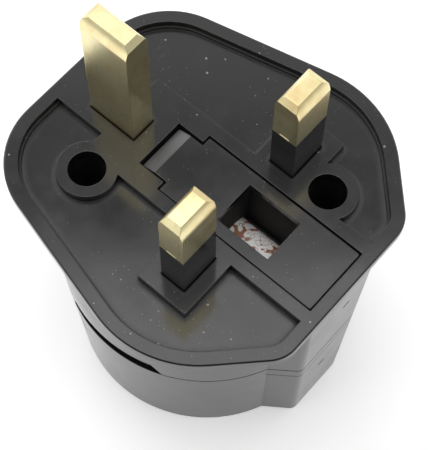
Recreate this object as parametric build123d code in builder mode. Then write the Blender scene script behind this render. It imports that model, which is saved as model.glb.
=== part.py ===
from build123d import *
from math import asin, cos, degrees, radians, sin, sqrt
import os

os.makedirs("parts", exist_ok=True)

# The adapter stands on the open mouth of its socket, pins up.
# Z = 0 is the table, the socket's axis is X = Y = 0, +Y points to the earth pin,
# and -X is the live side. All sizes are in millimetres.

# Heights of the housing
body_height = 43.5
seam_height = 21.7
flange_thickness = 3.0
flange_slope = 1.5
face_plate = 1.9

# Outline of the pin face: three corners on each side, each with its own radius
top_y = 26.2
shoulder_x = 17.4
corner_x = 26.6
corner_y = -11.2
foot_x = 12.7
bottom_y = -24.7
shoulder_radius = 12.0
corner_radius = 16.5
foot_radius = 5.0
face_edge = 0.2

# Round body under the face, with a bulge front and back
seam_radius = 21.55
mouth_taper = 1.15
skirt_taper = 0.95
bulge_reach = 1.95
mouth_radius = seam_radius - mouth_taper
skirt_radius = seam_radius + skirt_taper
bulge_flat_y = seam_radius + bulge_reach
wall = 1.9
bulge_flat_half = 6.1
bulge_root_half = 9.1
bulge_edge_radius = 1.4
bulge_draft = 0.75
bulge_spread = 0.85
lip_chamfer = 0.35
seam_groove = 0.25
seam_groove_depth = 0.4
bulge_line_height = 19.0
bulge_line = 0.15

# Raised lands and sunk lobes of the pin face
rim_width = 2.0
lobe_depth = 1.0
lobe_step_width = 0.3
lobe_step_depth = 0.4
land_half = 7.35
pin_land_half = 16.6
pin_land_reach = 4.15
earth_land_half = 4.1
earth_land_start = 15.7

# Pins
pin_line_y = -6.5
pin_pitch = 22.2
earth_offset = 22.2
pin_long = 6.35
pin_thick = 4.0
earth_long = 8.0
pin_height = 17.7
earth_height = 22.7
sleeve_height = 9.0
sleeve_root = 1.7
sleeve_wall = 0.45
pin_end_run = 0.9
pin_end_drop = 0.7
crown_drop = 2.0
crown_run = 0.95
crown_bow = 0.2
nick_half = 0.8
nick_depth = 0.35

# Gaps around pieces that are seated in the housing
fit_gap = 0.1
earth_gap = 0.15

# Fuse, its drawer and the well that the drawer sits in
fuse_length = 25.4
fuse_radius = 3.15
fuse_cap_length = 5.9
fuse_cap_wall = 0.2
fuse_bore_radius = 1.7
fuse_y = -9.25
fuse_depth = 11.2
drawer_half = 5.2
drawer_end_wall = 0.58
drawer_gap = 0.25
drawer_drop = 0.22
drawer_reach = 1.4
well_wall = 1.0
fuse_clearance = 0.08
cheek_grip = 0.22
tab_half = 3.75
tab_reach = 4.35
tab_bevel_run = 2.15
tab_bevel_drop = 0.65
tab_thickness = 3.2
tab_pocket_gap = 0.35
window_half = 3.45
window_length = 8.9

# Assembly screws, one each side of the socket's axis
screw_x = 9.5
screw_y = 13.5
screw_hole_radius = 2.68
screw_boss_radius = 4.3
screw_head_radius = 2.4
screw_head_height = 1.7
screw_head_depth = 14.0
screw_seat = 2.2
screw_radius = 1.45
screw_clearance = 0.25
screw_length = 8.2
screw_tip = 0.8
post_radius = 3.0
drive_width = 0.7
drive_depth = 1.0

# Socket: round recess, pin holes, guide ribs and earth clips
recess_radius = 19.3
recess_depth = 17.5
recess_chamfer = 0.3
socket_floor = 2.4
hole_pitch = 19.0
hole_radius = 2.6
hole_chamfer = 0.5
rib_width = 5.0
rib_height = 2.2
rib_recess = 2.0
clip_width = 6.0
clip_side_gap = 0.3
clip_slot_bottom = 1.8
clip_slot_y = 21.3
clip_tip_y = 17.3
clip_line_y = 20.4
clip_tip_z = 9.5
clip_foot_y = 16.6
clip_bow = 4.6
clip_end_rise = 1.4
clip_bend_radius = 0.9

# Metal strips and contacts inside
strip = 0.5
earth_strip = 0.8
contact_inner = 2.35
contact_wall = 0.6
contact_slit = 0.9
contact_gap = 0.05
fuse_clip_gap = 0.1
fuse_clip_length = 5.0
fuse_clip_arm = 2.5
fuse_clip_foot_half = 2.4
link_ring_margin = 0.35
carrier_front = 4.6
tail_support = 9.0
tongue_half = 3.9
tongue_back = -21.4
tongue_thickness = 4.0
link_width = 1.9
link_back_y = -17.6
link_outer_x = 8.2
link_inner_x = 6.6
rivet_radius = 1.0
rivet_head_radius = 1.7
rivet_head = 0.7
rivet_depth = 2.6
earth_tail = 12.0
earth_riser_top = 8.0
earth_rivet_drop = 9.9
earth_riser_half = 3.0
strap_half = 3.4
strap_reach = 19.3

# Notches at the seam and small marks on the flat end
notch_half_angle = 24.0
notch_height = 3.3
notch_depth = 4.4
notch_pad = 1.2
notch_pad_angle = 4.0
mark_width = 1.3
mark_height = 0.5
mark_depth = 0.4
upper_mark_x = 1.9
upper_mark_drop = 9.7
lower_mark_x = -0.4
lower_mark_drop = 30.4

# Sizes worked out from those above
earth_y = pin_line_y + earth_offset
pin_x = pin_pitch / 2
hole_x = hole_pitch / 2
lobe_z = body_height - lobe_depth
floor_z = recess_depth + socket_floor
cavity_top = lobe_z - lobe_step_depth - face_plate
flange_z = body_height - flange_thickness
cavity_radius = seam_radius - wall
pad_inner = seam_radius - notch_depth - notch_pad
pad_half_angle = notch_half_angle + notch_pad_angle
fuse_z = body_height - fuse_depth
carrier_top = fuse_z - fuse_radius - fuse_clip_gap - strip
strip_top = carrier_top + strip
well_bottom = strip_top + fit_gap
drawer_back = fuse_y - fuse_length / 2 - drawer_end_wall
drawer_front = fuse_y + fuse_length / 2 + drawer_end_wall
tab_end = drawer_front + tab_reach
drawer_bottom = fuse_z - drawer_reach
drawer_top = body_height - drawer_drop
screw_seat_z = body_height - screw_head_depth - screw_head_height
post_top = screw_seat_z - screw_seat
rivet_z = body_height - earth_rivet_drop
screw_places = ((-screw_x, screw_y), (screw_x, -screw_y))


def face_outline(inset):
    """Outline of the pin face, drawn in by the inset all round."""
    corners = (
        (shoulder_x, top_y),
        (corner_x, corner_y),
        (foot_x, bottom_y),
        (-foot_x, bottom_y),
        (-corner_x, corner_y),
        (-shoulder_x, top_y),
    )
    side_radii = [shoulder_radius, corner_radius, foot_radius]
    with BuildSketch() as outline:
        with BuildLine():
            FilletPolyline(*corners, radius=side_radii + side_radii[::-1], close=True)
        make_face()
        if inset > 0:
            offset(amount=-inset, kind=Kind.INTERSECTION)
    return outline.sketch


def body_section(radius, flat_y, spread=0.0, inset=0.0):
    """Round section with a flat-ended bulge towards +Y and -Y, drawn in by the inset."""
    root = bulge_root_half + spread - inset
    flat = bulge_flat_half + spread - inset
    round_radius = radius - inset
    with BuildSketch() as bulge:
        with BuildLine():
            Polyline(
                (-root, 0),
                (-root, sqrt(round_radius**2 - root**2)),
                (-flat, flat_y - inset),
                (flat, flat_y - inset),
                (root, sqrt(round_radius**2 - root**2)),
                (root, 0),
                close=True,
            )
        make_face()
        fillet(bulge.vertices().group_by(Axis.Y)[-1], max(bulge_edge_radius - inset, face_edge))
    with BuildSketch() as section:
        Circle(round_radius)
        add(bulge.sketch)
        mirror(bulge.sketch, about=Plane.XZ)
    return section.sketch


def ring_sector(inner, outer, half_angle, side):
    """Sector of a ring about the socket's axis, centred on +X or -X."""
    reach = 2 * outer
    edge_y = reach * sin(radians(half_angle))
    edge_x = reach * cos(radians(half_angle))
    with BuildSketch() as sector:
        Circle(outer)
        Circle(inner, mode=Mode.SUBTRACT)
        with BuildLine():
            Polyline((0, 0), (side * edge_x, edge_y), (side * edge_x, -edge_y), close=True)
        make_face(mode=Mode.INTERSECT)
    return sector.sketch


def face_lands():
    """Parts of the pin face that stay level with the rim."""
    with BuildSketch() as lands:
        with BuildLine():
            Polyline(
                (-land_half, bottom_y),
                (land_half, bottom_y),
                (land_half, earth_land_start),
                (-land_half, earth_land_start),
                close=True,
            )
        make_face()
        with Locations((0, pin_line_y)):
            Rectangle(2 * pin_land_half, 2 * pin_land_reach)
        with Locations((0, (earth_land_start + top_y) / 2)):
            Rectangle(2 * earth_land_half, top_y - earth_land_start)
        with Locations(*screw_places):
            Circle(screw_boss_radius)
    return lands.sketch


# Pin-side shell: face, flange, skirt, drawer well, pin seats and screw bosses
with BuildPart() as plug_base:
    with BuildSketch(Plane.XY.offset(flange_z)):
        add(face_outline(0))
    extrude(amount=flange_thickness)
    face_rim = plug_base.edges().group_by(Axis.Z)[-1]
    chamfer(face_rim, face_edge)
    flange_foot = plug_base.edges().group_by(Axis.Z)[0]
    chamfer(flange_foot, flange_slope)
    with BuildSketch(Plane.XY.offset(seam_height)):
        add(body_section(seam_radius, bulge_flat_y))
    with BuildSketch(Plane.XY.offset(flange_z + flange_slope)):
        add(body_section(skirt_radius, bulge_flat_y + bulge_draft, bulge_spread))
    loft()
    with BuildSketch(Plane.XY.offset(seam_height)):
        add(body_section(seam_radius, bulge_flat_y, inset=wall))
    extrude(amount=cavity_top - seam_height, mode=Mode.SUBTRACT)

    # Pads behind the seam notches, so that the notches stay blind
    for side in (1, -1):
        with BuildSketch(Plane.XY.offset(seam_height)):
            add(ring_sector(pad_inner, cavity_radius + strip, pad_half_angle, side))
        extrude(amount=notch_height + notch_pad)

    # Walls of the drawer's well
    well_back = drawer_back - drawer_gap - well_wall
    well_front = drawer_front + drawer_gap + well_wall
    well_outer = drawer_half + drawer_gap + well_wall
    with BuildSketch(Plane.XY.offset(well_bottom)):
        with Locations((0, (well_back + well_front) / 2)):
            Rectangle(2 * well_outer, well_front - well_back)
        add(body_section(seam_radius, bulge_flat_y), mode=Mode.INTERSECT)
    extrude(amount=cavity_top - well_bottom)
    with BuildSketch(Plane.XY.offset(cavity_top - tab_thickness)):
        with Locations((0, (drawer_front + tab_end) / 2)):
            Rectangle(2 * (tab_half + tab_pocket_gap + well_wall), tab_end - drawer_front + 2 * well_wall)
    extrude(amount=tab_thickness)

    # Seats around the pins' tails
    with BuildSketch(Plane.XY.offset(cavity_top - lobe_depth - face_plate)):
        with Locations((-pin_x, pin_line_y), (pin_x, pin_line_y)):
            Rectangle(pin_long + 2 * well_wall, pin_thick + 2 * well_wall)
        with Locations((0, earth_y)):
            Rectangle(pin_thick + 2 * well_wall, earth_long + 2 * well_wall)
    extrude(amount=lobe_depth + face_plate)

    # Screw bosses
    with BuildSketch(Plane.XY.offset(post_top)):
        with Locations(*screw_places):
            Circle(screw_boss_radius)
        add(body_section(seam_radius, bulge_flat_y, inset=strip), mode=Mode.INTERSECT)
    extrude(amount=cavity_top - post_top)

    # Sunk lobes of the face, with a low step at the foot of the rim
    with BuildSketch(Plane.XY.offset(lobe_z)):
        add(face_outline(rim_width))
        add(face_lands(), mode=Mode.SUBTRACT)
    extrude(amount=lobe_depth, mode=Mode.SUBTRACT)
    with BuildSketch(Plane.XY.offset(lobe_z - lobe_step_depth)):
        add(face_outline(rim_width + lobe_step_width))
        add(face_lands(), mode=Mode.SUBTRACT)
    extrude(amount=lobe_step_depth, mode=Mode.SUBTRACT)

    # Drawer well and the pocket at its prising tab
    with BuildSketch(Plane.XY.offset(well_bottom)):
        with Locations((0, (drawer_back + drawer_front) / 2)):
            Rectangle(2 * (drawer_half + drawer_gap), drawer_front - drawer_back + 2 * drawer_gap)
    extrude(amount=body_height - well_bottom, mode=Mode.SUBTRACT)
    with BuildSketch(Plane.XY.offset(body_height - tab_thickness - drawer_gap)):
        with Locations((0, (drawer_front + tab_end + tab_pocket_gap) / 2)):
            Rectangle(2 * (tab_half + tab_pocket_gap), tab_end + tab_pocket_gap - drawer_front)
    extrude(amount=tab_thickness + drawer_gap, mode=Mode.SUBTRACT)

    # Openings for the pins
    with BuildSketch(Plane.XY.offset(seam_height)):
        with Locations((-pin_x, pin_line_y), (pin_x, pin_line_y)):
            Rectangle(pin_long + 2 * fit_gap, pin_thick + 2 * fit_gap)
        with Locations((0, earth_y)):
            Rectangle(pin_thick + 2 * earth_gap, earth_long + 2 * earth_gap)
    extrude(amount=body_height - seam_height, mode=Mode.SUBTRACT)

    # Deep screw holes, each with a seat for the head
    with Locations(*[(x, y, body_height) for x, y in screw_places]):
        CounterBoreHole(
            radius=screw_radius + screw_clearance,
            counter_bore_radius=screw_hole_radius,
            counter_bore_depth=body_height - screw_seat_z,
            depth=body_height - post_top,
        )

    # Blind notches at the seam, with slanted ends
    for side in (1, -1):
        with BuildSketch(Plane.XY.offset(seam_height)):
            add(ring_sector(seam_radius - notch_depth, 2 * seam_radius, notch_half_angle, side))
        with BuildSketch(Plane.XY.offset(seam_height + notch_height)):
            end_slant = degrees(asin(notch_height / seam_radius)) / 2
            add(ring_sector(seam_radius - notch_depth, 2 * seam_radius, notch_half_angle - end_slant, side))
        loft(mode=Mode.SUBTRACT)

    # Fine groove along the seam
    with BuildSketch(Plane.XY.offset(seam_height)):
        Circle(2 * seam_radius)
        add(body_section(seam_radius, bulge_flat_y, inset=seam_groove_depth), mode=Mode.SUBTRACT)
    extrude(amount=seam_groove, mode=Mode.SUBTRACT)

    # Small mark on the flat end
    upper_mark_z = body_height - upper_mark_drop
    upper_mark_rise = (upper_mark_z - seam_height) / (flange_z + flange_slope - seam_height)
    with Locations((upper_mark_x, -bulge_flat_y - bulge_draft * upper_mark_rise, upper_mark_z)):
        Box(mark_width, 2 * mark_depth, mark_height, mode=Mode.SUBTRACT)

plug_base.part.label = "plug_base"
export_step(plug_base.part, "parts/plug_base.step")


# Socket shell: cup with the round recess, pin holes, guide ribs, clip slots and screw posts
with BuildPart() as socket_shell:
    with BuildSketch(Plane.XY):
        add(body_section(mouth_radius, bulge_flat_y - bulge_draft, -bulge_spread))
    with BuildSketch(Plane.XY.offset(seam_height)):
        add(body_section(seam_radius, bulge_flat_y))
    loft()
    mouth_edge = socket_shell.edges().group_by(Axis.Z)[0]
    chamfer(mouth_edge, lip_chamfer)
    with BuildSketch(Plane.XY):
        Circle(recess_radius)
    extrude(amount=recess_depth, mode=Mode.SUBTRACT)
    recess_mouth = socket_shell.edges().filter_by(GeomType.CIRCLE).group_by(Axis.Z)[0]
    chamfer(recess_mouth.sort_by(SortBy.RADIUS)[0], recess_chamfer)
    with BuildSketch(Plane.XY.offset(floor_z)):
        add(body_section(seam_radius, bulge_flat_y, inset=wall))
    extrude(amount=seam_height - floor_z, mode=Mode.SUBTRACT)

    # Pads under the seam notches
    for side in (1, -1):
        with BuildSketch(Plane.XY.offset(recess_depth + socket_floor / 2)):
            add(ring_sector(pad_inner, cavity_radius + strip, pad_half_angle, side))
        extrude(amount=seam_height - recess_depth - socket_floor / 2)

    # Guide ribs at the two sides of the recess
    with BuildSketch(Plane.XY.offset(rib_recess)):
        with Locations((-recess_radius, 0), (recess_radius, 0)):
            Rectangle(2 * rib_height, rib_width)
        Circle(recess_radius + recess_chamfer, mode=Mode.INTERSECT)
    extrude(amount=recess_depth - rib_recess)

    # Slots that the earth clips stand in
    clip_slot_inner = clip_tip_y + strip
    with BuildSketch(Plane.XY.offset(clip_slot_bottom)):
        for side in (1, -1):
            with Locations((0, side * (clip_slot_inner + clip_slot_y) / 2)):
                Rectangle(clip_width + 2 * clip_side_gap, clip_slot_y - clip_slot_inner)
    extrude(amount=seam_height - clip_slot_bottom, mode=Mode.SUBTRACT)

    # Posts that the screws bite into
    with BuildSketch(Plane.XY.offset(recess_depth)):
        with Locations(*screw_places):
            Circle(post_radius)
    extrude(amount=post_top - recess_depth)
    screw_end_z = screw_seat_z - screw_length
    with Locations(*[(x, y, post_top) for x, y in screw_places]):
        Hole(radius=screw_radius, depth=post_top - screw_end_z + screw_tip / 2)

    # Holes for the pins of a round plug
    with Locations((-hole_x, 0, recess_depth), (hole_x, 0, recess_depth)):
        Hole(radius=hole_radius, depth=2 * socket_floor)
    recess_floor = socket_shell.faces().filter_by(Axis.Z).filter_by_position(
        Axis.Z, recess_depth - fit_gap, recess_depth + fit_gap
    )
    hole_mouths = recess_floor.edges().filter_by(
        lambda edge: edge.geom_type == GeomType.CIRCLE and abs(edge.radius - hole_radius) < fit_gap
    )
    chamfer(hole_mouths, hole_chamfer)

    # Fine line round both bulges, and a small mark on the flat end
    with BuildSketch(Plane.XY.offset(bulge_line_height)):
        Rectangle(2 * bulge_root_half, 4 * seam_radius)
        add(body_section(seam_radius, bulge_flat_y, inset=2 * bulge_line), mode=Mode.SUBTRACT)
    extrude(amount=bulge_line, mode=Mode.SUBTRACT)
    lower_mark_z = body_height - lower_mark_drop
    lower_mark_fall = 1 - lower_mark_z / seam_height
    with Locations((lower_mark_x, -bulge_flat_y + bulge_draft * lower_mark_fall, lower_mark_z)):
        Box(mark_width, 2 * mark_depth, mark_height, mode=Mode.SUBTRACT)

socket_shell.part.label = "socket_shell"
export_step(socket_shell.part, "parts/socket_shell.step")


# Inner moulding that holds the contacts and carries the fuse clips
with BuildPart() as contact_carrier:
    with BuildSketch(Plane.XY.offset(floor_z)):
        carrier_half = hole_x + contact_inner + contact_wall + well_wall
        with Locations((0, (carrier_front - tail_support) / 2)):
            Rectangle(2 * carrier_half, carrier_front + tail_support)
    extrude(amount=carrier_top - floor_z)
    with BuildSketch(Plane.XY.offset(carrier_top - tongue_thickness)):
        with Locations((0, (tongue_back - tail_support) / 2)):
            Rectangle(2 * tongue_half, -tail_support - tongue_back)
    extrude(amount=tongue_thickness)
    with BuildSketch(Plane.XY.offset(floor_z)):
        Rectangle(2 * (strap_half + clip_side_gap), 4 * tail_support)
    extrude(amount=earth_strip + fit_gap, mode=Mode.SUBTRACT)
    with Locations((-hole_x, 0, carrier_top), (hole_x, 0, carrier_top)):
        Hole(radius=contact_inner + contact_wall + contact_gap)
    with Locations((-pin_x, pin_line_y, carrier_top), (pin_x, pin_line_y, carrier_top)):
        Hole(radius=rivet_head_radius + fit_gap, depth=rivet_head + fit_gap)
    long_edges = contact_carrier.edges().filter_by(Axis.Z).group_by(Axis.X)
    fillet(long_edges[0] + long_edges[-1], well_wall)

contact_carrier.part.label = "contact_carrier"
export_step(contact_carrier.part, "parts/contact_carrier.step")

# Fuse drawer: cover plate with a prising tab and a window over cheeks that grip the fuse
with BuildPart() as fuse_carrier:
    with BuildSketch(Plane.XY.offset(drawer_bottom)):
        with Locations((0, (drawer_back + drawer_front) / 2)):
            Rectangle(2 * drawer_half, drawer_front - drawer_back)
    extrude(amount=drawer_top - drawer_bottom)
    with BuildSketch(Plane.YZ.offset(-tab_half)):
        with BuildLine():
            Polyline(
                (drawer_front, drawer_top),
                (tab_end - tab_bevel_run, drawer_top),
                (tab_end, drawer_top - tab_bevel_drop),
                (tab_end, body_height - tab_thickness),
                (drawer_front, body_height - tab_thickness),
                close=True,
            )
        make_face()
    extrude(amount=2 * tab_half)
    corner_posts = fuse_carrier.edges().filter_by(Axis.Z).group_by(Axis.Y)[0]
    fillet(corner_posts, drawer_gap)

    # Seat round the fuse, with a mouth under it that is a little narrower than the fuse
    with BuildSketch(Plane.XZ.offset(-drawer_front)):
        with Locations((0, fuse_z)):
            Circle(fuse_radius + fuse_clearance)
        with Locations((0, drawer_bottom)):
            Rectangle(2 * (fuse_radius - cheek_grip), 2 * drawer_reach)
    extrude(amount=drawer_front - drawer_back, mode=Mode.SUBTRACT)

    # Both ends are cut away below the cover, to clear the fuse clips
    with BuildSketch(Plane.XY.offset(drawer_bottom)):
        for side in (1, -1):
            cut_length = fuse_cap_length + drawer_end_wall
            with Locations((0, fuse_y + side * (fuse_length / 2 + drawer_end_wall - cut_length / 2))):
                Rectangle(4 * drawer_half, cut_length)
    extrude(amount=fuse_z + fuse_radius + fuse_clearance - drawer_bottom, mode=Mode.SUBTRACT)

    # Window over the fuse
    with BuildSketch(Plane.XY.offset(fuse_z)):
        with Locations((0, fuse_y)):
            Rectangle(2 * window_half, window_length)
    extrude(amount=body_height - fuse_z, mode=Mode.SUBTRACT)

fuse_carrier.part.label = "fuse_carrier"
export_step(fuse_carrier.part, "parts/fuse_carrier.step")

# Fuse: ceramic tube between two drawn brass caps
fuse_ends = (fuse_y - fuse_length / 2, fuse_y + fuse_length / 2)

with BuildPart() as fuse_tube:
    with BuildSketch(Plane.XZ.offset(-(fuse_ends[1] - fuse_cap_wall))):
        with Locations((0, fuse_z)):
            Circle(fuse_radius - fuse_cap_wall)
            Circle(fuse_bore_radius, mode=Mode.SUBTRACT)
    extrude(amount=fuse_length - 2 * fuse_cap_wall)

fuse_tube.part.label = "fuse_tube"
export_step(fuse_tube.part, "parts/fuse_tube.step")

for cap_name, cap_end, inward in (("fuse_cap_rear", fuse_ends[0], 1), ("fuse_cap_front", fuse_ends[1], -1)):
    cap_plane = Plane(origin=(0, cap_end, fuse_z), x_dir=(1, 0, 0), z_dir=(0, inward, 0))
    with BuildPart() as fuse_cap:
        with BuildSketch(cap_plane):
            Circle(fuse_radius)
        extrude(amount=fuse_cap_length)
        with BuildSketch(cap_plane.offset(fuse_cap_wall)):
            Circle(fuse_radius - fuse_cap_wall)
        extrude(amount=fuse_cap_length, mode=Mode.SUBTRACT)
        end_edge = fuse_cap.edges().filter_by(GeomType.CIRCLE).filter_by(
            lambda edge: abs(edge.center().Y - cap_end) < fuse_cap_wall / 2
        )
        chamfer(end_edge, fuse_cap_wall)
    fuse_cap.part.label = cap_name
    export_step(fuse_cap.part, f"parts/{cap_name}.step")


def pin_blank(length, bottom_z, top_z):
    """Pin with its length along X: crowned from side to side, with a chamfer at each end."""
    half = length / 2
    side = pin_thick / 2
    with BuildPart() as blank:
        with BuildSketch(Plane.YZ.offset(-half)):
            with BuildLine():
                Line((-side, top_z - crown_drop), (-side, bottom_z))
                Line((-side, bottom_z), (side, bottom_z))
                Line((side, bottom_z), (side, top_z - crown_drop))
                SagittaArc((side, top_z - crown_drop), (side - crown_run, top_z), -crown_bow)
                Line((side - crown_run, top_z), (crown_run - side, top_z))
                SagittaArc((crown_run - side, top_z), (-side, top_z - crown_drop), -crown_bow)
            make_face()
        extrude(amount=length)
        with BuildSketch(Plane.XZ.offset(-side)):
            with BuildLine():
                Polyline(
                    (-half, bottom_z),
                    (half, bottom_z),
                    (half, top_z - pin_end_drop),
                    (half - pin_end_run, top_z),
                    (pin_end_run - half, top_z),
                    (-half, top_z - pin_end_drop),
                    close=True,
                )
            make_face()
        extrude(amount=pin_thick, mode=Mode.INTERSECT)
    return blank.part


# Earth pin, with a tail that the riser is riveted to
earth_blank = pin_blank(earth_long, body_height - earth_tail, body_height + earth_height)
with BuildPart() as earth_pin:
    add(Pos(0, earth_y, 0) * Rot(0, 0, 90) * earth_blank)
    with Locations(Plane(origin=(0, earth_y - earth_long / 2, rivet_z), z_dir=(0, -1, 0))):
        Hole(radius=rivet_radius, depth=rivet_depth)

earth_pin.part.label = "earth_pin"
export_step(earth_pin.part, "parts/earth_pin.step")

# Live and neutral pins: brass blade with a waist that the insulating sleeve fills, and a
# small nick just above the sleeve in each narrow side
nick_z = body_height + sleeve_height + fit_gap
for pole, side in (("live", -1), ("neutral", 1)):
    pole_blank = pin_blank(pin_long, strip_top, body_height + pin_height)
    with BuildPart() as blade:
        add(Pos(side * pin_x, pin_line_y, 0) * pole_blank)
        with BuildSketch(Plane.XY.offset(body_height - sleeve_root)):
            with Locations((side * pin_x, pin_line_y)):
                Rectangle(pin_long, pin_thick)
                Rectangle(pin_long - 2 * sleeve_wall, pin_thick - 2 * sleeve_wall, mode=Mode.SUBTRACT)
        extrude(amount=sleeve_height + sleeve_root, mode=Mode.SUBTRACT)
        with BuildSketch(Plane.XZ.offset(-(pin_line_y + nick_half))):
            for narrow in (1, -1):
                nick_x = side * pin_x + narrow * pin_long / 2
                with BuildLine():
                    Polyline(
                        (nick_x, nick_z),
                        (nick_x - narrow * nick_depth, nick_z + nick_depth),
                        (nick_x, nick_z + nick_depth),
                        close=True,
                    )
                make_face()
        extrude(amount=2 * nick_half, mode=Mode.SUBTRACT)
        with Locations(Plane(origin=(side * pin_x, pin_line_y, strip_top), z_dir=(0, 0, -1))):
            Hole(radius=rivet_radius, depth=rivet_depth)
    blade.part.label = f"{pole}_pin"
    export_step(blade.part, f"parts/{pole}_pin.step")

    with BuildPart() as sleeve:
        with BuildSketch(Plane.XY.offset(body_height - sleeve_root)):
            with Locations((side * pin_x, pin_line_y)):
                Rectangle(pin_long, pin_thick)
                Rectangle(pin_long - 2 * sleeve_wall, pin_thick - 2 * sleeve_wall, mode=Mode.SUBTRACT)
        extrude(amount=sleeve_height + sleeve_root)
    sleeve.part.label = f"{pole}_sleeve"
    export_step(sleeve.part, f"parts/{pole}_sleeve.step")

    # Rolled contact that grips a round plug pin
    with BuildPart() as contact:
        with BuildSketch(Plane.XY.offset(floor_z + fit_gap)):
            with Locations((side * hole_x, 0)):
                Circle(contact_inner + contact_wall)
                Circle(contact_inner, mode=Mode.SUBTRACT)
            with Locations((side * (hole_x + contact_inner), 0)):
                Rectangle(2 * contact_inner, contact_slit, mode=Mode.SUBTRACT)
        extrude(amount=carrier_top - floor_z - fit_gap)
    contact.part.label = f"{pole}_contact"
    export_step(contact.part, f"parts/{pole}_contact.step")

    # Rivet that holds the pin's tail to its strip
    with BuildPart() as rivet:
        with BuildSketch(Plane.XY.offset(carrier_top - rivet_head)):
            with Locations((side * pin_x, pin_line_y)):
                Circle(rivet_head_radius)
        extrude(amount=rivet_head)
        chamfer(rivet.edges().group_by(Axis.Z)[0], rivet_head / 2)
        with BuildSketch(Plane.XY.offset(carrier_top)):
            with Locations((side * pin_x, pin_line_y)):
                Circle(rivet_radius)
        extrude(amount=strip + rivet_depth)
    rivet.part.label = f"{pole}_rivet"
    export_step(rivet.part, f"parts/{pole}_rivet.step")

# Fuse clips: a cradle on a foot, at each end of the fuse
cap_middle = (fuse_length - fuse_cap_length) / 2
clip_outer = fuse_radius + fuse_clip_gap + strip


def fuse_cradle(middle_y):
    """Cradle that takes one cap of the fuse from above."""
    with BuildPart() as cradle:
        with BuildSketch(Plane.XZ.offset(-(middle_y + fuse_clip_length / 2))):
            with Locations((0, fuse_z)):
                Circle(clip_outer)
            with Locations((0, fuse_z + fuse_clip_arm / 2)):
                Rectangle(2 * clip_outer, fuse_clip_arm)
            with Locations((0, carrier_top + strip / 2)):
                Rectangle(2 * fuse_clip_foot_half, strip)
            with Locations((0, fuse_z + fuse_clip_arm + clip_outer)):
                Rectangle(2 * clip_outer, 2 * clip_outer, mode=Mode.SUBTRACT)
            with Locations((0, fuse_z)):
                Circle(clip_outer - strip, mode=Mode.SUBTRACT)
            with Locations((0, fuse_z + clip_outer / 2)):
                Rectangle(2 * (clip_outer - strip), clip_outer, mode=Mode.SUBTRACT)
        extrude(amount=fuse_clip_length)
    return cradle.part


link_ring = contact_inner + contact_wall + link_ring_margin
tail_half_y = pin_thick / 2
with BuildPart() as live_fuse_clip:
    add(fuse_cradle(fuse_y - cap_middle))
    with BuildSketch(Plane.XY.offset(carrier_top)):
        with BuildLine():
            Polyline(
                (-fuse_clip_foot_half, link_back_y),
                (-link_outer_x, link_back_y),
                (-link_outer_x, pin_line_y - tail_half_y),
                (-pin_x - pin_long / 4, pin_line_y - tail_half_y),
                (-pin_x - pin_long / 4, pin_line_y + tail_half_y),
                (-link_inner_x, pin_line_y + tail_half_y),
                (-link_inner_x, link_back_y + link_width),
                (-fuse_clip_foot_half, link_back_y + link_width),
                close=True,
            )
        make_face()
        with Locations((-pin_x, pin_line_y)):
            Circle(rivet_radius, mode=Mode.SUBTRACT)
    extrude(amount=strip)

live_fuse_clip.part.label = "live_fuse_clip"
export_step(live_fuse_clip.part, "parts/live_fuse_clip.step")

with BuildPart() as load_fuse_clip:
    add(fuse_cradle(fuse_y + cap_middle))
    with BuildSketch(Plane.XY.offset(carrier_top)):
        with Locations((-(hole_x + fuse_clip_foot_half) / 2, 0)):
            Rectangle(hole_x - fuse_clip_foot_half, link_width)
        with Locations((-hole_x, 0)):
            Circle(link_ring)
            Circle(contact_inner, mode=Mode.SUBTRACT)
    extrude(amount=strip)

load_fuse_clip.part.label = "load_fuse_clip"
export_step(load_fuse_clip.part, "parts/load_fuse_clip.step")

# Neutral link, from the pin's tail straight to its contact
with BuildPart() as neutral_link:
    with BuildSketch(Plane.XY.offset(carrier_top)):
        with Locations((pin_x, pin_line_y)):
            Rectangle(pin_long / 2, pin_thick)
        with Locations((hole_x + link_width / 2, pin_line_y / 2)):
            Rectangle(link_width, -pin_line_y)
        with Locations((hole_x, 0)):
            Circle(link_ring)
            Circle(contact_inner, mode=Mode.SUBTRACT)
        with Locations((pin_x, pin_line_y)):
            Circle(rivet_radius, mode=Mode.SUBTRACT)
    extrude(amount=strip)

neutral_link.part.label = "neutral_link"
export_step(neutral_link.part, "parts/neutral_link.step")

# Earth strap along the socket's floor, the riser to the earth pin and its rivet
with BuildPart() as earth_strap:
    with BuildSketch(Plane.XY.offset(floor_z)):
        Rectangle(2 * strap_half, 2 * strap_reach)
    extrude(amount=earth_strip)
    fillet(earth_strap.edges().filter_by(Axis.Z), earth_strip)

earth_strap.part.label = "earth_strap"
export_step(earth_strap.part, "parts/earth_strap.step")

riser_y = earth_y - earth_long / 2
riser_foot_z = floor_z + earth_strip
riser_top = body_height - earth_riser_top
with BuildPart() as earth_riser:
    with BuildSketch(Plane.YZ.offset(-earth_riser_half)):
        with BuildLine():
            Polyline(
                (riser_y - earth_strip, riser_foot_z),
                (clip_foot_y - contact_wall, riser_foot_z),
                (clip_foot_y - contact_wall, riser_foot_z + earth_strip),
                (riser_y, riser_foot_z + earth_strip),
                (riser_y, riser_top),
                (riser_y - earth_strip, riser_top),
                close=True,
            )
        make_face()
    extrude(amount=2 * earth_riser_half)
    bend = earth_riser.edges().filter_by(Axis.X).group_by(Axis.Z)[0].sort_by(Axis.Y)[0]
    fillet(bend, earth_strip)
    with Locations(Plane(origin=(0, riser_y - earth_strip, rivet_z), z_dir=(0, -1, 0))):
        Hole(radius=rivet_radius, depth=2 * earth_strip)

earth_riser.part.label = "earth_riser"
export_step(earth_riser.part, "parts/earth_riser.step")

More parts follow.
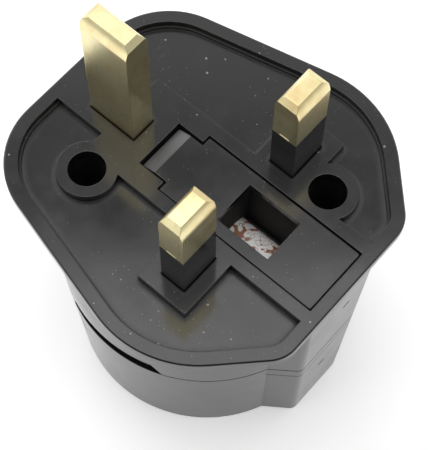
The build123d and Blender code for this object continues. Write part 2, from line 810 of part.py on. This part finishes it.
with BuildPart() as earth_rivet:
    head_plane = Plane(origin=(0, riser_y - earth_strip, rivet_z), z_dir=(0, -1, 0))
    with BuildSketch(head_plane):
        Circle(rivet_head_radius)
    extrude(amount=rivet_head)
    chamfer(earth_rivet.edges().group_by(Axis.Y)[0], rivet_head / 2)
    with BuildSketch(head_plane):
        Circle(rivet_radius)
    extrude(amount=-(earth_strip + rivet_depth))

earth_rivet.part.label = "earth_rivet"
export_step(earth_rivet.part, "parts/earth_rivet.step")

# Earth clips: sprung strips that stand in their slots and bow into the recess
clip_top = floor_z + earth_strip
for clip_name, side in (("earth_clip_front", -1), ("earth_clip_rear", 1)):
    with BuildPart() as earth_clip:
        with BuildSketch(Plane.YZ.offset(-clip_width / 2)):
            with BuildLine() as clip_path:
                FilletPolyline(
                    (side * clip_foot_y, clip_top + earth_strip / 2),
                    (side * clip_line_y, clip_top + earth_strip / 2),
                    (side * clip_line_y, clip_tip_z + clip_bow),
                    (side * (clip_tip_y + earth_strip / 2), clip_tip_z),
                    (side * clip_line_y, clip_slot_bottom + clip_end_rise),
                    radius=clip_bend_radius,
                )
                offset(amount=earth_strip / 2, kind=Kind.INTERSECTION, side=Side.BOTH)
            make_face()
        extrude(amount=clip_width)
    earth_clip.part.label = clip_name
    export_step(earth_clip.part, f"parts/{clip_name}.step")

# Pan-head assembly screws with a cross drive
for screw_name, (place_x, place_y) in zip(("screw_rear", "screw_front"), screw_places):
    with BuildPart() as screw:
        with BuildSketch(Plane.XY.offset(screw_seat_z)):
            with Locations((place_x, place_y)):
                Circle(screw_head_radius)
        extrude(amount=screw_head_height)
        chamfer(screw.edges().group_by(Axis.Z)[-1], screw_head_height / 2)
        with BuildSketch(Plane.XY.offset(screw_seat_z + screw_head_height - drive_depth)):
            with Locations((place_x, place_y)):
                Rectangle(drive_width, 2 * screw_radius)
                Rectangle(2 * screw_radius, drive_width)
        extrude(amount=drive_depth, mode=Mode.SUBTRACT)
        with BuildSketch(Plane.XY.offset(screw_seat_z)):
            with Locations((place_x, place_y)):
                Circle(screw_radius)
        extrude(amount=-screw_length)
        chamfer(screw.edges().group_by(Axis.Z)[0], screw_tip)
    screw.part.label = screw_name
    export_step(screw.part, f"parts/{screw_name}.step")
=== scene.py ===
# %% [markdown]
# A travel adapter, dressed for a photograph
#
# The adapter stands on its socket with three brass pins in the air. Its housing is dark
# glossy plastic in two shells, and a drawer in the face holds the fuse. The solids come
# ready made and stay as they are, so this lesson is about light, camera and materials.
# Everything is in metres, with the table at height zero and the pins pointing up.

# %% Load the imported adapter
from math import radians

import bmesh
import bpy
from mathutils import Euler, Matrix, Vector

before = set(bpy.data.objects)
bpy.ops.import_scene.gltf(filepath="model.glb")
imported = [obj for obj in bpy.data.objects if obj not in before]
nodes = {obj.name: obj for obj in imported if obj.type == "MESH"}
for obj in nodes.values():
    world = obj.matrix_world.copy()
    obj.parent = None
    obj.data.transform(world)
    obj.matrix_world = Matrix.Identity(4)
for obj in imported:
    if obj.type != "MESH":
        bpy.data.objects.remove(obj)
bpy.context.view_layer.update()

# %% [markdown]
# Camera. The picture looks down at the face from the live side, from about the distance
# of a hand. The lens is long, so the pins hardly converge. The camera's place and angle
# are set directly, because a tracking target would add a second thing to keep in step.

# %% Camera at the photograph's angle
camera_data = bpy.data.cameras.new("camera")
camera_data.lens = 115.3
camera_data.sensor_width = 36.0
camera_data.clip_start = 0.01
camera = bpy.data.objects.new("camera", camera_data)
camera.location = (-0.0654, -0.05726, 0.2198)
camera.rotation_euler = Euler((radians(24.465), radians(-0.252), radians(-48.918)))
bpy.context.scene.collection.objects.link(camera)
bpy.context.scene.camera = camera
bpy.context.scene.view_settings.view_transform = "Standard"
print("camera at", tuple(camera.location))

# %% [markdown]
# Small helpers. A material is a tree of nodes, and writing out each node and link takes
# many lines. The first helper makes a node and fills its inputs: a number or a colour is
# set, and another node's output is linked. The others wrap the nodes that come up most.


# %% Helpers for nodes
def join(tree, source, target):
    """Links an output socket to an input socket."""
    tree.links.new(source, target)


def add_node(tree, kind, inputs=None, **settings):
    """Adds a node, sets its properties, and sets or links its inputs by name or number."""
    node = tree.nodes.new(kind)
    for name, value in settings.items():
        setattr(node, name, value)
    for socket, value in (inputs or {}).items():
        if isinstance(value, bpy.types.NodeSocket):
            join(tree, value, node.inputs[socket])
        else:
            node.inputs[socket].default_value = value
    return node


def calculate(tree, operation, *terms):
    """One step of arithmetic on numbers or sockets."""
    node = add_node(tree, "ShaderNodeMath", dict(enumerate(terms)), operation=operation)
    return node.outputs["Value"]


def rescale(tree, value, from_min, from_max, to_min=0.0, to_max=1.0):
    """Stretches one range of values onto another, and stops at its ends."""
    ends = {"From Min": from_min, "From Max": from_max, "To Min": to_min, "To Max": to_max}
    node = add_node(tree, "ShaderNodeMapRange", {"Value": value, **ends})
    return node.outputs["Result"]


print("node helpers ready")

# %% [markdown]
# Mixing. Most of a finish is one value laid over another where a mask says so: wear over
# clean plastic, dust over both. The Mix node does that for numbers and for colours, and a
# colour needs a fourth number, its opacity, which the second helper adds.


# %% Helpers for mixing
def blend_numbers(tree, share, first, second):
    """The first number where the share is 0, the second where it is 1."""
    inputs = {"Factor": share, "A": first, "B": second}
    return add_node(tree, "ShaderNodeMix", inputs, data_type="FLOAT").outputs["Result"]


def blend_colors(tree, share, first, second):
    """The first colour where the share is 0, the second where it is 1."""
    inputs = {"Factor": share}
    for end, color in (("A", first), ("B", second)):
        inputs[end] = color if isinstance(color, bpy.types.NodeSocket) else (*color, 1.0)
    return add_node(tree, "ShaderNodeMix", inputs, data_type="RGBA").outputs["Result"]


print("mixing helpers ready")

# %% [markdown]
# Patterns. Each one sits in its piece's own coordinates, so it stays put when the drawer
# moves. They are turned into millimetres, because the scale of a texture is then the
# number of its cells in a millimetre, which can be counted on a real adapter.


# %% Helpers for patterns
def millimetres(tree):
    """The piece's own coordinates, in millimetres."""
    place = add_node(tree, "ShaderNodeTexCoord")
    inputs = {0: place.outputs["Object"], "Scale": 1000.0}
    return add_node(tree, "ShaderNodeVectorMath", inputs, operation="SCALE").outputs["Vector"]


def noise(tree, place, scale, detail, roughness=0.5):
    """A soft random pattern between 0 and 1."""
    inputs = {"Vector": place, "Scale": scale, "Detail": detail, "Roughness": roughness}
    return add_node(tree, "ShaderNodeTexNoise", inputs).outputs["Fac"]


def facing_up(tree):
    """How far the surface faces up: 1 where it is level, 0 on a wall."""
    surface = add_node(tree, "ShaderNodeNewGeometry")
    parts = add_node(tree, "ShaderNodeSeparateXYZ", {"Vector": surface.outputs["Normal"]})
    return parts.outputs["Z"]


print("pattern helpers ready")

# %% [markdown]
# Groups. An effect that several materials share is a node group. It is built once and
# placed in each material with its own values. A new group has its sockets declared, and
# gets one node where its inputs come in and one where its outputs leave.


# %% Helpers for groups
def new_group(name, inputs, outputs):
    """A group with named sockets, with the sockets to read from and those to fill."""
    group = bpy.data.node_groups.new(name, "ShaderNodeTree")
    for socket_name, kind, default in inputs:
        socket = group.interface.new_socket(socket_name, in_out="INPUT", socket_type=kind)
        socket.default_value = default
    for socket_name, kind in outputs:
        group.interface.new_socket(socket_name, in_out="OUTPUT", socket_type=kind)
    entry = add_node(group, "NodeGroupInput")
    ending = add_node(group, "NodeGroupOutput")
    return group, entry.outputs, ending.inputs


def place_group(tree, group, inputs=None):
    """Puts a group into a material with its own values, and gives its outputs."""
    return add_node(tree, "ShaderNodeGroup", inputs, node_tree=group).outputs


print("group helpers ready")

# %% [markdown]
# Soft edges. On the real adapter every moulded edge has a tiny radius that catches the
# light as a thin line. Cutting that radius into the mesh would cost many faces. The Bevel
# node bends the normals near an edge at render time and leaves the mesh alone. The angle
# between the bent and the true normal also gives a mask of the edges, where a highlight is
# painted paler, and on metal wear as well.

# %% Group: soft edge
soft_edge, given, result = new_group(
    "soft edge",
    [("Radius", "NodeSocketFloat", 0.00015)],
    [("Normal", "NodeSocketVector"), ("Edge", "NodeSocketFloat")],
)
bevel = add_node(soft_edge, "ShaderNodeBevel", {"Radius": given["Radius"]}, samples=6)
surface = add_node(soft_edge, "ShaderNodeNewGeometry")
both_normals = {0: bevel.outputs["Normal"], 1: surface.outputs["Normal"]}
agreement = add_node(soft_edge, "ShaderNodeVectorMath", both_normals, operation="DOT_PRODUCT")
agree_on_flat, agree_on_edge = 0.995, 0.8
# Edge mask: where a paler highlight is painted, and on metal also wear.
edge = rescale(soft_edge, agreement.outputs["Value"], agree_on_flat, agree_on_edge)
join(soft_edge, bevel.outputs["Normal"], result["Normal"])
join(soft_edge, edge, result["Edge"])
print("group:", soft_edge.name)

# %% [markdown]
# Dust. The face carries pale specks of different sizes, thick in some places and absent
# in others. A flat Voronoi texture, seen from above, has one random point in each cell,
# so a small circle round each point is a speck. A broad noise decides how many cells keep
# theirs, and the surface's own slope removes the specks from walls, where dust won't lie.

# %% Group: dust specks
dust_specks, given, result = new_group(
    "dust specks",
    [
        ("Cells per mm", "NodeSocketFloat", 0.6),
        ("Size", "NodeSocketFloat", 0.1),
        ("Kept", "NodeSocketFloat", 0.25),
    ],
    [("Mask", "NodeSocketFloat")],
)
drifts_per_mm = 0.09
level_enough = 0.9
place = millimetres(dust_specks)
cell_inputs = {"Vector": place, "Scale": given["Cells per mm"]}
cells = add_node(dust_specks, "ShaderNodeTexVoronoi", cell_inputs, voronoi_dimensions="2D")
chance = add_node(dust_specks, "ShaderNodeSeparateColor", {"Color": cells.outputs["Color"]})
drifts = noise(dust_specks, place, drifts_per_mm, detail=1.0)
least_share = 0.15
drift_share = rescale(dust_specks, drifts, 0.42, 0.7, least_share, 1.0)
limit = calculate(dust_specks, "MULTIPLY", given["Kept"], drift_share)
kept = calculate(dust_specks, "LESS_THAN", chance.outputs["Red"], limit)
speck_size = calculate(dust_specks, "MULTIPLY", chance.outputs["Green"], given["Size"])
inside = calculate(dust_specks, "LESS_THAN", cells.outputs["Distance"], speck_size)
level = calculate(dust_specks, "GREATER_THAN", facing_up(dust_specks), level_enough)
speck = calculate(dust_specks, "MULTIPLY", kept, inside)
join(dust_specks, calculate(dust_specks, "MULTIPLY", speck, level), result["Mask"])
print("group:", dust_specks.name)

# %% [markdown]
# Painted shade. Inside corners, the screw holes and the window are painted black as
# painted shade, and their gloss is made dull. Two measures find
# them: how far a point lies below the face near the middle of the body, and how much open
# air it sees within a millimetre, which is ambient occlusion.

# %% Group: painted shade places
painted_shade_places, given, result = new_group(
    "painted shade places",
    [
        ("Reach", "NodeSocketFloat", 0.001),
        ("Top", "NodeSocketFloat", 0.0419),
        ("Span", "NodeSocketFloat", 0.0188),
    ],
    [("Mask", "NodeSocketFloat")],
)
# This mask marks where shade is painted black into the plastic and its gloss made dull.
air_inputs = {"Distance": given["Reach"]}
open_air = add_node(painted_shade_places, "ShaderNodeAmbientOcclusion", air_inputs, samples=4)
open_enough, closed_in = 0.85, 0.5
corner = rescale(painted_shade_places, open_air.outputs["AO"], open_enough, closed_in)
print("corners found from open air")

# %% [markdown]
# The second measure needs the height of a point and its distance from the body's axis. The
# distance is the length of the point's place with its height taken out.

# %% Group: painted shade places, below the face
place = add_node(painted_shade_places, "ShaderNodeTexCoord").outputs["Object"]
parts = add_node(painted_shade_places, "ShaderNodeSeparateXYZ", {"Vector": place})
depth = calculate(painted_shade_places, "SUBTRACT", given["Top"], parts.outputs["Z"])
fully_deep = 0.0005
below = rescale(painted_shade_places, depth, 0.0, fully_deep)
without_height = {0: place, 1: (1.0, 1.0, 0.0)}
flat = add_node(
    painted_shade_places, "ShaderNodeVectorMath", without_height, operation="MULTIPLY"
)
flat_place = {0: flat.outputs["Vector"]}
from_axis = add_node(
    painted_shade_places, "ShaderNodeVectorMath", flat_place, operation="LENGTH"
)
within = calculate(painted_shade_places, "LESS_THAN", from_axis.outputs["Value"], given["Span"])
deep = calculate(painted_shade_places, "MULTIPLY", below, within)
join(painted_shade_places, calculate(painted_shade_places, "MAXIMUM", corner, deep), result["Mask"])
print("group:", painted_shade_places.name)

# %% [markdown]
# Moulded skin. Glossy plastic is never a perfect mirror. It has a very shallow ripple,
# and its gloss changes from place to place where it was handled. Two noise textures make
# this: a fine one for the ripple, and a broad one for the change in gloss.

# %% Group: moulded skin
moulded_skin, given, result = new_group(
    "moulded skin",
    [
        ("Ripples per mm", "NodeSocketFloat", 1.2),
        ("Patches per mm", "NodeSocketFloat", 0.12),
    ],
    [("Height", "NodeSocketFloat"), ("Patches", "NodeSocketFloat")],
)
place = millimetres(moulded_skin)
ripples = noise(moulded_skin, place, given["Ripples per mm"], detail=3.0, roughness=0.6)
patches = noise(moulded_skin, place, given["Patches per mm"], detail=4.0, roughness=0.65)
join(moulded_skin, ripples, result["Height"])
join(moulded_skin, patches, result["Patches"])
print("group:", moulded_skin.name)

# %% [markdown]
# Drawn lines. The pins are cut from drawn bar, and sockets rub them the same way, so fine
# lines run along them. Noise that is stretched in one direction turns into lines, so the
# same texture is used with one axis scaled down.

# %% Group: drawn lines
drawn_lines, given, result = new_group(
    "drawn lines",
    [
        ("Across", "NodeSocketVector", (5.0, 5.0, 0.15)),
        ("Tilt", "NodeSocketVector", (0.0, 0.0, 0.0)),
    ],
    [("Lines", "NodeSocketFloat")],
)
turning = {"Vector": millimetres(drawn_lines), "Rotation": given["Tilt"]}
turned = add_node(drawn_lines, "ShaderNodeMapping", turning)
stretching = {0: turned.outputs["Vector"], 1: given["Across"]}
stretched = add_node(drawn_lines, "ShaderNodeVectorMath", stretching, operation="MULTIPLY")
join(drawn_lines, noise(drawn_lines, stretched.outputs["Vector"], 1.0, 2.0), result["Lines"])
print("group:", drawn_lines.name)

# %% [markdown]
# Starting a finish. Every material begins with the Principled surface, which covers both
# plastic and metal. A finish then takes the one material slot of each of its pieces.


# %% Helpers for materials
def new_material(name):
    """A material with its tree and its Principled surface."""
    material = bpy.data.materials.new(name)
    material.use_nodes = True
    tree = material.node_tree
    return material, tree, tree.nodes["Principled BSDF"]


def bump(tree, height, strength, distance, normal=None):
    """A shallow relief on the surface, and the normal that it leaves."""
    inputs = {"Height": height, "Strength": strength, "Distance": distance}
    if normal is not None:
        inputs["Normal"] = normal
    return add_node(tree, "ShaderNodeBump", inputs).outputs["Normal"]


def dress(finish, node_names):
    """Gives each named piece one finish."""
    for node_name in node_names:
        slots = nodes[node_name].data.materials
        slots.clear()
        slots.append(finish)
    print(finish.name, "on", ", ".join(node_names))


print("material helpers ready")

# %% [markdown]
# Dark moulded plastic. Both shells are near black with a clear gloss. A dark base leaves
# the picture to the reflections: the table shows in the side walls, where the surface is
# seen almost edge on, and the lamp shows in the face. The same recipe with other values
# makes the drawer, the pin sleeves and the moulding inside, so it is a function. It uses
# two helpers of its own: one for the gloss, and one for the colour under scratches, dust,
# a painted highlight on the edges and painted shade in corners and holes.

# %% Parts of a plastic finish
# Gain for paler scratches and for the painted edge highlight.
scratch_and_highlight_gain = 2.5
scratch_fade = 0.03
# Near black painted into corners and holes as painted shade.
painted_shade_black = (0.001, 0.001, 0.001)
dull_roughness_in_shade = 0.7
dust_color = (0.26, 0.255, 0.25)


def plastic_gloss(tree, patches, painted_shade_and_dull, gloss_from, gloss_to):
    """A roughness that wanders between two values, and is dull where shade is painted."""
    low_patch, high_patch = 0.3, 0.7
    polish = rescale(tree, patches, low_patch, high_patch, gloss_from, gloss_to)
    return blend_numbers(tree, painted_shade_and_dull, polish, dull_roughness_in_shade)


def plastic_color(tree, color, edge, painted_shade_and_dull, dusty, scratch_from):
    """The plastic's colour: paler on scratches, a painted highlight on edges, painted shade
    in corners and holes, then dusted.
    """
    hair_inputs = {"Across": (0.35, 7.0, 7.0), "Tilt": (0.0, 0.0, 0.7)}
    hairs = place_group(tree, drawn_lines, hair_inputs)["Lines"]
    scratched = rescale(tree, hairs, scratch_from, scratch_from + scratch_fade)
    scratches_and_highlights = calculate(tree, "MAXIMUM", edge, scratched)
    # Edges get a painted highlight and scratches show real wear; both are paler.
    scratch_and_highlight_color = tuple(scratch_and_highlight_gain * channel for channel in color)
    worn_and_highlit = blend_colors(tree, scratches_and_highlights, color, scratch_and_highlight_color)
    # Painted shade: corners, screw holes and the window turn black.
    shaded = blend_colors(tree, painted_shade_and_dull, worn_and_highlit, painted_shade_black)
    specks = place_group(tree, dust_specks, {"Kept": dusty})["Mask"]
    fine_inputs = {"Cells per mm": 2.5, "Size": 0.14, "Kept": dusty}
    fine_specks = place_group(tree, dust_specks, fine_inputs)["Mask"]
    all_specks = calculate(tree, "MAXIMUM", specks, fine_specks)
    return blend_colors(tree, all_specks, shaded, dust_color)


print("plastic parts ready")

# %% [markdown]
# The whole plastic. The painted shade mask is found once and serves both the gloss and the
# colour. The index of refraction is a little above that of common plastic for the shells,
# because they are glossy, and below it for the sleeves, which look blacker in the photo.


# %% Plastic materials
def plastic(
    name,
    color,
    gloss_from,
    gloss_to,
    ripple=0.12,
    edge_radius=0.00015,
    dusty=0.16,
    deepest=0.0419,
    scratch_from=0.75,
    ior=1.6,
):
    """Moulded plastic with a wandering gloss, a painted edge highlight, painted shade, fine
    scratches and dust.
    """
    material, tree, shader = new_material(name)
    shader.inputs["IOR"].default_value = ior
    skin = place_group(tree, moulded_skin)
    edge = place_group(tree, soft_edge, {"Radius": edge_radius})
    painted_shade_and_dull = place_group(tree, painted_shade_places, {"Top": deepest})["Mask"]
    gloss = plastic_gloss(tree, skin["Patches"], painted_shade_and_dull, gloss_from, gloss_to)
    shade = plastic_color(tree, color, edge["Edge"], painted_shade_and_dull, dusty, scratch_from)
    ripple_height = 0.00002
    normal = bump(tree, skin["Height"], ripple, ripple_height, edge["Normal"])
    join(tree, gloss, shader.inputs["Roughness"])
    join(tree, shade, shader.inputs["Base Color"])
    join(tree, normal, shader.inputs["Normal"])
    return material


housing_plastic = plastic("housing plastic", (0.013, 0.0132, 0.014), 0.09, 0.2)
drawer_plastic = plastic(
    "drawer plastic", (0.012, 0.0122, 0.013), 0.1, 0.22, deepest=0.0425
)
sleeve_plastic = plastic(
    "sleeve plastic",
    (0.006, 0.006, 0.0065),
    0.16,
    0.26,
    ripple=0.1,
    edge_radius=0.0001,
    dusty=0.0,
    scratch_from=0.95,
    ior=1.42,
)
inner_plastic = plastic(
    "inner moulding", (0.03, 0.03, 0.032), 0.45, 0.6, ripple=0.3, dusty=0.0
)
dress(housing_plastic, ("plug_base", "socket_shell"))
dress(drawer_plastic, ("fuse_carrier",))
dress(sleeve_plastic, ("live_sleeve", "neutral_sleeve"))
dress(inner_plastic, ("contact_carrier",))

# %% [markdown]
# The prising tab. The sloped end of the drawer has a paler grey with fine lines and a duller
# gloss. It is the only gentle slope on that piece, so the height of its normal picks it out,
# and the new finish is mixed over the one that the drawer already has.

# %% Paler prising tab
tab_faces_up, tab_tolerance = 0.956, 0.02
# A paler grey and a duller gloss for the sloped end of the drawer.
tab_dark, tab_pale = (0.06, 0.06, 0.062), (0.13, 0.13, 0.132)
tab_roughness = 0.5
tree = drawer_plastic.node_tree
shader = tree.nodes["Principled BSDF"]
on_tab = calculate(tree, "COMPARE", facing_up(tree), tab_faces_up, tab_tolerance)
tab_lines = place_group(tree, drawn_lines, {"Across": (0.4, 6.0, 6.0)})["Lines"]
tab_color = blend_colors(tree, tab_lines, tab_dark, tab_pale)
clean_color = shader.inputs["Base Color"].links[0].from_socket
clean_roughness = shader.inputs["Roughness"].links[0].from_socket
color = blend_colors(tree, on_tab, clean_color, tab_color)
roughness = blend_numbers(tree, on_tab, clean_roughness, tab_roughness)
join(tree, color, shader.inputs["Base Color"])
join(tree, roughness, shader.inputs["Roughness"])
print("tab made paler")

# %% [markdown]
# Brass. The pins are solid brass, pale where polished and browner where tarnished. Their
# edges are paler, from wear and as a painted highlight. Metal has no colour of its own apart
# from what it reflects, so the tone comes from a metallic Base Color, and the lines go into
# both the roughness and a shallow bump. The strips, the springs and the screws inside are the
# same recipe in other metals.


# %% Metal materials
def metal(name, bright, dull, gloss_from, gloss_to, across, relief=0.4):
    """Worked metal with fine lines, a tarnish that wanders, and edges paler from wear and as
    a painted highlight.
    """
    material, tree, shader = new_material(name)
    shader.inputs["Metallic"].default_value = 1.0
    lines = place_group(tree, drawn_lines, {"Across": across})["Lines"]
    patches = place_group(tree, moulded_skin, {"Patches per mm": 0.16})["Patches"]
    edge = place_group(tree, soft_edge, {"Radius": 0.00012})

    tarnish_from, tarnish_full = 0.45, 0.7
    tarnish = rescale(tree, patches, tarnish_from, tarnish_full)
    toned = blend_colors(tree, tarnish, bright, dull)
    # Edges painted bright: partly wear, partly a painted highlight.
    worn_and_highlit = blend_colors(tree, edge["Edge"], toned, bright)
    line_share = 0.3
    uneven = blend_numbers(tree, line_share, patches, lines)
    roughness = rescale(tree, uneven, 0.35, 0.65, gloss_from, gloss_to)
    line_depth = 0.00001
    normal = bump(tree, lines, relief, line_depth, edge["Normal"])
    join(tree, worn_and_highlit, shader.inputs["Base Color"])
    join(tree, roughness, shader.inputs["Roughness"])
    join(tree, normal, shader.inputs["Normal"])
    return material


pin_brass = metal(
    "pin brass",
    (0.95, 0.86, 0.50),
    (0.78, 0.61, 0.31),
    0.27,
    0.33,
    (2.5, 2.5, 0.1),
    relief=0.01,
)
strip_brass = metal(
    "strip brass", (0.80, 0.62, 0.32), (0.62, 0.45, 0.22), 0.25, 0.42, (0.6, 12.0, 12.0)
)
cap_brass = metal(
    "cap brass", (0.84, 0.78, 0.62), (0.74, 0.66, 0.48), 0.2, 0.32, (12.0, 0.5, 12.0)
)
spring_steel = metal(
    "spring steel", (0.66, 0.65, 0.62), (0.54, 0.53, 0.50), 0.25, 0.4, (14.0, 0.8, 0.8)
)
# The screws' near black is painted shade, so that the holes stay dark.
screw_steel = metal(
    "screw steel", (0.10, 0.10, 0.105), (0.06, 0.06, 0.062), 0.35, 0.5, (8.0, 8.0, 8.0)
)
print("metals made")

# %% [markdown]
# Who wears which metal. The pins are one alloy, the strips and rivets another, and what
# has to spring back is steel. The assembly screws are painted near black, as painted
# shade, so that the holes stay dark.

# %% Metal pieces dressed
dress(pin_brass, ("live_pin", "neutral_pin", "earth_pin"))
dress(strip_brass, ("live_contact", "neutral_contact", "neutral_link"))
dress(strip_brass, ("live_fuse_clip", "load_fuse_clip"))
dress(strip_brass, ("live_rivet", "neutral_rivet", "earth_rivet"))
dress(cap_brass, ("fuse_cap_front", "fuse_cap_rear"))
dress(spring_steel, ("earth_strap", "earth_riser", "earth_clip_front", "earth_clip_rear"))
dress(screw_steel, ("screw_rear", "screw_front"))

# %% [markdown]
# The fuse's print. The fuse is a white ceramic tube with a brown print, and only a patch
# of it shows through the window. The contour lines of a smooth noise make curved strokes
# of even width. A coarse noise gives broad strokes and a finer one thin strokes, and a
# third decides which is printed where. They say nothing and still look like ink.

# %% Printed strokes
ceramic, tree, shader = new_material("fuse ceramic")
shader.inputs["IOR"].default_value = 1.55
place = millimetres(tree)
regions = noise(tree, place, 0.45, detail=0.0)


def ink_strokes(strokes_per_mm, half_width, none_at, full_at):
    """Strokes along the middle value of a noise, printed in part of the regions."""
    swirls = noise(tree, place, strokes_per_mm, detail=0.0)
    from_middle = calculate(tree, "ABSOLUTE", calculate(tree, "SUBTRACT", swirls, 0.5))
    stroke = rescale(tree, from_middle, half_width, 0.75 * half_width)
    return calculate(tree, "MULTIPLY", stroke, rescale(tree, regions, none_at, full_at))


broad_strokes = ink_strokes(0.55, 0.1, 0.47, 0.5)
thin_strokes = ink_strokes(1.5, 0.035, 0.5, 0.47)
strokes = calculate(tree, "MAXIMUM", broad_strokes, thin_strokes)
print("strokes drawn")

# %% [markdown]
# The fuse's glaze. The print has worn thin in places, and the glaze is a little uneven, in
# gloss and in height. The skin group gives all three.

# %% Fuse ceramic
glaze_white, ink_brown = (0.92, 0.91, 0.89), (0.34, 0.13, 0.06)
grime = place_group(tree, moulded_skin, {"Patches per mm": 0.8})
ink_left = rescale(tree, grime["Patches"], 0.3, 0.42, 0.35, 1.0)
printed = calculate(tree, "MULTIPLY", strokes, ink_left)
glaze = blend_colors(tree, printed, glaze_white, ink_brown)
join(tree, glaze, shader.inputs["Base Color"])
gloss = rescale(tree, grime["Patches"], 0.0, 1.0, 0.3, 0.5)
join(tree, gloss, shader.inputs["Roughness"])
unevenness, glaze_height = 0.2, 0.00003
normal = bump(tree, grime["Height"], unevenness, glaze_height)
join(tree, normal, shader.inputs["Normal"])
dress(ceramic, ("fuse_tube",))

# %% [markdown]
# Table. The adapter stands on white paper, which is one large plane in a pale colour. For
# the camera, and in the mirror of the walls, it gets a little light of its own, so that it
# reads as white paper and still keeps the shadow.

# %% Table
table_mesh = bpy.data.meshes.new("table")
shape = bmesh.new()
bmesh.ops.create_grid(shape, x_segments=1, y_segments=1, size=1.5)
shape.to_mesh(table_mesh)
shape.free()
table = bpy.data.objects.new("table", table_mesh)
bpy.context.scene.collection.objects.link(table)

glow_in_mirrors, glow_in_view = 0.3, 0.38
paper, tree, shader = new_material("white paper")
shader.inputs["Base Color"].default_value = (0.88, 0.88, 0.88, 1.0)
shader.inputs["Roughness"].default_value = 0.9
rays = add_node(tree, "ShaderNodeLightPath").outputs
mirrored = calculate(tree, "MULTIPLY", rays["Is Glossy Ray"], glow_in_mirrors)
direct = calculate(tree, "MULTIPLY", rays["Is Camera Ray"], glow_in_view)
strength = calculate(tree, "ADD", mirrored, direct)
glow_inputs = {"Color": (1.0, 1.0, 1.0, 1.0), "Strength": strength}
glow = add_node(tree, "ShaderNodeEmission", glow_inputs).outputs["Emission"]
lit_paper = add_node(tree, "ShaderNodeAddShader", {0: shader.outputs["BSDF"], 1: glow})
surface_input = tree.nodes["Material Output"].inputs["Surface"]
join(tree, lit_paper.outputs["Shader"], surface_input)
table_mesh.materials.append(paper)
print("table laid")

# %% [markdown]
# Lamps. Dark gloss shows what stands around it far more than its own colour. The face
# mirrors one part of the sky, beyond the far edge and high up, so the near half of the
# face mirrors the large lamp overhead and the far half mirrors the room beside it. The
# window is a broad lamp on the earth pin's side. It lights the pins' far walls and
# brightens the flat end. A faint lamp on the live side fills the near walls.


# %% Lamps
def softbox(name, place, aim, width, height, power, roll=0.0):
    """Hangs a rectangular lamp that faces a point."""
    lamp = bpy.data.lights.new(name, "AREA")
    lamp.shape = "RECTANGLE"
    lamp.size = width
    lamp.size_y = height
    lamp.energy = power
    box = bpy.data.objects.new(name, lamp)
    box.location = place
    facing = (Vector(aim) - Vector(place)).to_track_quat("-Z", "Y").to_matrix()
    box.rotation_euler = (facing @ Matrix.Rotation(roll, 3, "Z")).to_euler()
    bpy.context.scene.collection.objects.link(box)


under_the_lamp = (0.011, 0.01, 0.0)
body_middle = (0.0, 0.0, 0.03)
mirror_turn = radians(40.5)
softbox(
    "overhead softbox", (0.011, 0.01, 0.8), under_the_lamp, 0.6, 0.8, 3.0, roll=mirror_turn
)
softbox("window", (0.24, 0.7, 0.55), body_middle, 0.75, 0.5, 2.4)
softbox("side glow", (-0.62, 0.3, 0.45), body_middle, 0.3, 0.3, 0.3)
print("lamps lit")

# %% [markdown]
# Room. It has a dark band high up, between its walls and the lamp, and the face mirrors
# that band. Height above the horizon is the third part of the direction that a ray leaves
# in, so a colour ramp over it is enough.

# %% Room
world = bpy.data.worlds.new("studio")
bpy.context.scene.world = world
world.use_nodes = True
sky = world.node_tree
direction = add_node(sky, "ShaderNodeTexCoord").outputs["Generated"]
parts = add_node(sky, "ShaderNodeSeparateXYZ", {"Vector": direction})
room = add_node(sky, "ShaderNodeValToRGB", {"Fac": parts.outputs["Z"]})
room.color_ramp.interpolation = "EASE"
walls = ((0.0, 0.95), (0.3, 0.5), (0.65, 0.42), (0.83, 1.0))
ceiling = ((0.858, 1.0), (0.878, 0.5), (0.91, 0.36), (1.0, 0.36))
heights = walls + ceiling
for height, _ in heights[1:-1]:
    room.color_ramp.elements.new(height)
for element, (height, light) in zip(room.color_ramp.elements, heights):
    element.position = height
    element.color = (light, light, light, 1.0)
print("room:", len(heights), "steps of light")

# %% [markdown]
# The viewer's side. It is dim, because a person keeps light off the table there, and that
# darkens the near part of the cup. For the camera itself the room is plain white.

# %% Dim side of the room
toward_viewer = (-0.76, -0.65, 0.0)
viewer_inputs = {0: direction, 1: toward_viewer}
viewer_side = add_node(sky, "ShaderNodeVectorMath", viewer_inputs, operation="DOT_PRODUCT")
dimmest = 0.2
light_left = rescale(sky, viewer_side.outputs["Value"], 0.1, 0.75, 1.0, dimmest)
dimming = {0: room.outputs["Color"], "Scale": light_left}
dimmed = add_node(sky, "ShaderNodeVectorMath", dimming, operation="SCALE")
in_view = add_node(sky, "ShaderNodeLightPath").outputs["Is Camera Ray"]
seen = blend_colors(sky, in_view, dimmed.outputs["Vector"], (1.0, 1.0, 1.0))
join(sky, seen, sky.nodes["Background"].inputs["Color"])
print("viewer's side dimmed")

# %% [markdown]
# The end. Nothing here changes how large the adapter is.

# %% The end
print("the end")
